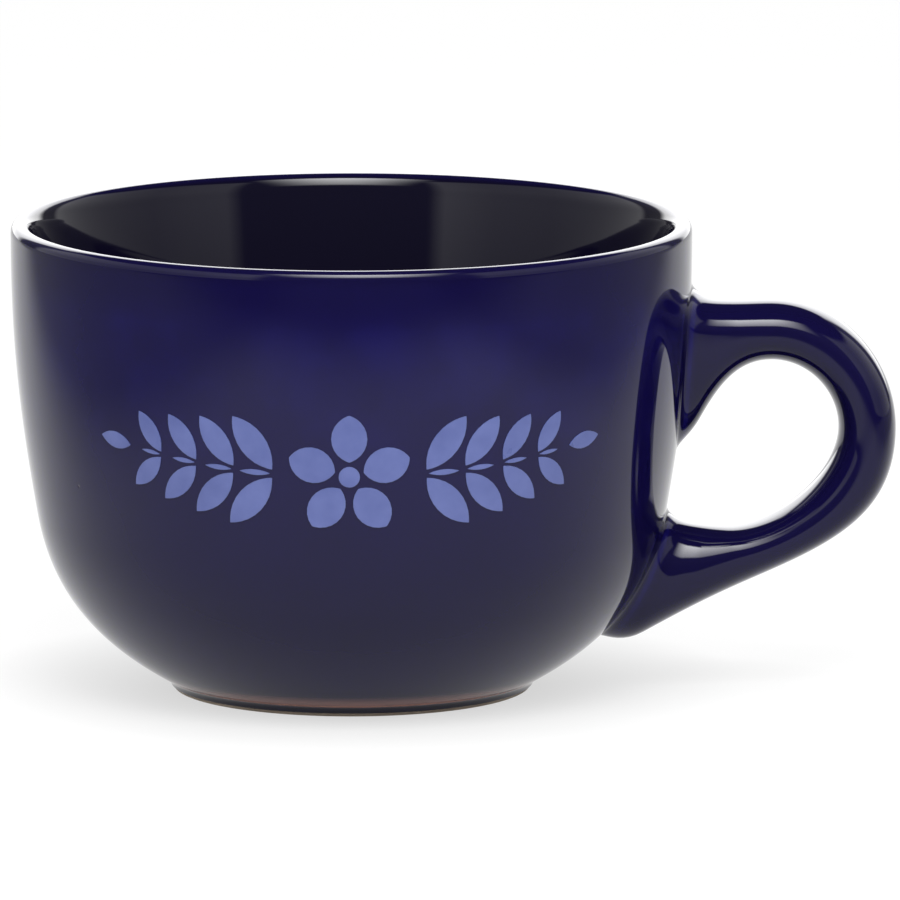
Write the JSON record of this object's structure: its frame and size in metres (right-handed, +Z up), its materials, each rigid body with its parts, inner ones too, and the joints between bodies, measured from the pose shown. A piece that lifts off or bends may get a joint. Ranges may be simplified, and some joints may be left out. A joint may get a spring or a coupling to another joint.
{
  "type": "cappuccino mug",
  "caption": "Wide glazed stoneware cappuccino mug with a rounded belly, a low foot ring, a loop handle and a printed leaf garland, for holding hot drinks.",
  "frame": {"origin": "centre of the foot ring on the table, on the bowl's axis", "axes": "+Z up along the bowl's axis, +X towards the handle, -Y towards the printed front"},
  "size_m": [0.143, 0.11, 0.076],
  "materials": {
    "clay": "bare fired stoneware, matt",
    "slip": "fired slip, matt",
    "glaze": "deep cobalt gloss glaze",
    "print": "fired screen print, periwinkle, satin gloss"
  },
  "bodies": {
    "root": {"bowl": "clay", "handle": "clay", "upper_joint": "slip", "lower_joint": "slip", "outer_glaze": "glaze", "inner_glaze": "glaze", "handle_glaze": "glaze", "underside_glaze": "glaze", "front_print": "print"}
  },
  "joints": []
}
